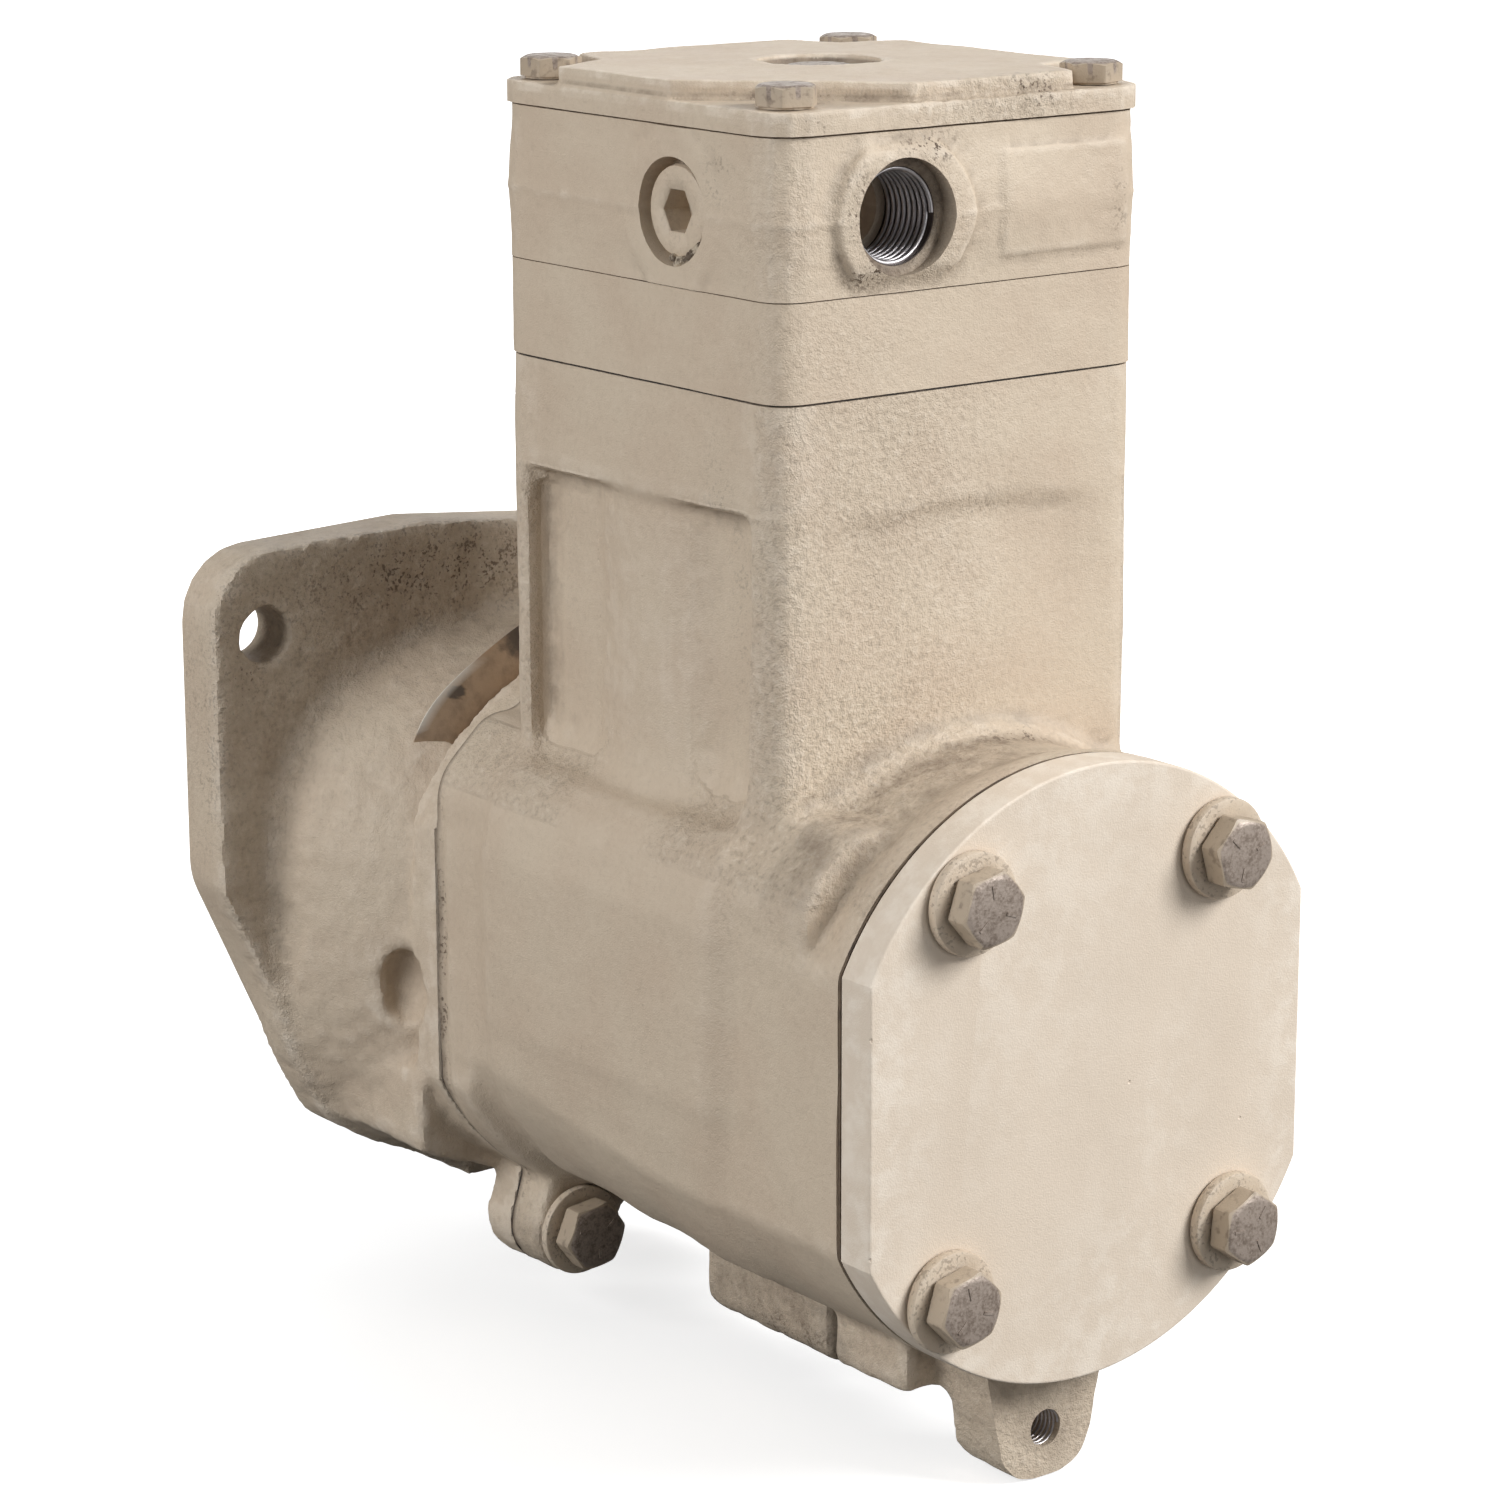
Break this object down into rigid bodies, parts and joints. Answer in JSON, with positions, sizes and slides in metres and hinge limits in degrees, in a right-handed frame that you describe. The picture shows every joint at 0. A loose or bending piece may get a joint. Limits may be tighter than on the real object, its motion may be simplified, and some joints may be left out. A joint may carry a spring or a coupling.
{
  "type": "flange-mounted air compressor",
  "caption": "Single-cylinder reciprocating air compressor with a square head, drive flange, end cover, and running crank, rod, piston and valves inside.",
  "frame": {"origin": "on the crank axis, in the mating face of the drive flange", "axes": "+Y along the crank axis out of the drive end, +Z along the cylinder axis towards the head, +X to the right as seen from the end cover"},
  "size_m": [0.1937, 0.2772, 0.3257],
  "materials": {
    "tan_paint": "satin tan enamel sprayed over sand-cast iron",
    "worn_bolt": "thin tan paint worn to grey steel",
    "bare_steel": "forged and machined steel",
    "ground_steel": "ground journals",
    "cast_aluminium": "turned cast aluminium",
    "bearing_bronze": "bored bearing bronze",
    "gasket_fibre": "dark fibre gasket, broken at its edge",
    "seal_rubber": "moulded oil-seal rubber",
    "spring_steel": "drawn spring wire",
    "sheet_steel": "thin sheet, tan paint over grey, bright sheared edge"
  },
  "bodies": {
    "root": {"head_cover": "tan_paint", "head_cover_gasket": "gasket_fibre", "cylinder_head": "tan_paint", "cylinder_head_gasket": "gasket_fibre", "valve_plate": "tan_paint", "valve_plate_gasket": "gasket_fibre", "crankcase": "tan_paint", "drive_housing": "tan_paint", "housing_gasket": "gasket_fibre", "end_cover": "tan_paint", "end_cover_gasket": "gasket_fibre", "head_bolt_1": "worn_bolt", "head_bolt_2": "worn_bolt", "head_bolt_3": "worn_bolt", "head_bolt_4": "worn_bolt", "cover_bolt_1": "worn_bolt", "cover_bolt_2": "worn_bolt", "cover_bolt_3": "worn_bolt", "cover_bolt_4": "worn_bolt", "cover_washer_1": "tan_paint", "cover_washer_2": "tan_paint", "cover_washer_3": "tan_paint", "cover_washer_4": "tan_paint", "housing_bolt_1": "tan_paint", "housing_bolt_2": "tan_paint", "housing_bolt_3": "tan_paint", "housing_bolt_4": "tan_paint", "housing_washer_1": "tan_paint", "housing_washer_2": "tan_paint", "housing_washer_3": "tan_paint", "housing_washer_4": "tan_paint", "side_port_plug": "tan_paint", "unloader_cap": "worn_bolt", "unloader_spring": "spring_steel", "intake_valve_spring": "spring_steel", "discharge_valve_spring": "spring_steel", "front_bush": "bearing_bronze", "rear_bush": "bearing_bronze", "thrust_washer": "bearing_bronze", "shaft_seal": "seal_rubber", "joint_tag": "sheet_steel"},
    "crankshaft": {"crankshaft": "ground_steel", "drive_coupling": "bare_steel", "coupling_key": "bare_steel", "coupling_nut": "bare_steel"},
    "connecting_rod": {"connecting_rod": "bare_steel", "rod_cap": "bare_steel", "rod_bolt_1": "bare_steel", "rod_bolt_2": "bare_steel", "upper_big_end_shell": "bearing_bronze", "lower_big_end_shell": "bearing_bronze", "small_end_bush": "bearing_bronze"},
    "piston": {"piston": "cast_aluminium", "wrist_pin": "ground_steel", "top_ring": "bare_steel", "second_ring": "bare_steel", "oil_ring": "bare_steel"},
    "unloader": {"unloader_piston": "ground_steel"},
    "intake_valve": {"intake_valve_disc": "spring_steel"},
    "discharge_valve": {"discharge_valve_disc": "spring_steel"}
  },
  "joints": [
    {"name": "crank_turn", "type": "hinge", "parent": "root", "child": "crankshaft", "pos_m": [0, -0.136, 0], "axis": [0, -1, 0], "range_deg": [-30, 30]},
    {"name": "crankpin_turn", "type": "hinge", "parent": "crankshaft", "child": "connecting_rod", "pos_m": [0.02222, -0.136, 0], "axis": [0, -1, 0], "range_deg": [-30.5, 30.5]},
    {"name": "piston_stroke", "type": "slide", "parent": "root", "child": "piston", "axis": [0, 0, 1], "range_m": [-0.0114, 0.0114]},
    {"name": "unloader_press", "type": "slide", "parent": "root", "child": "unloader", "axis": [0, 0, -1], "range_m": [0, 0.0024], "stiffness_N_per_m": 800, "springref_m": -0.002, "deforming": ["unloader_spring", "intake_valve_spring"]},
    {"name": "intake_valve_lift", "type": "slide", "parent": "root", "child": "intake_valve", "axis": [0, 0, -1], "range_m": [0, 0.0025], "stiffness_N_per_m": 300, "springref_m": -0.001},
    {"name": "discharge_valve_lift", "type": "slide", "parent": "root", "child": "discharge_valve", "axis": [0, 0, 1], "range_m": [0, 0.0025], "stiffness_N_per_m": 300, "springref_m": -0.001, "deforming": ["discharge_valve_spring"]}
  ],
  "couplings": [
    {"joint": "crankpin_turn", "follows": "crank_turn", "ratio": -1},
    {"joint": "piston_stroke", "follows": "crank_turn", "m_per_rad": 0.02122},
    {"joint": "intake_valve_lift", "follows": "unloader_press", "ratio": 1}
  ]
}
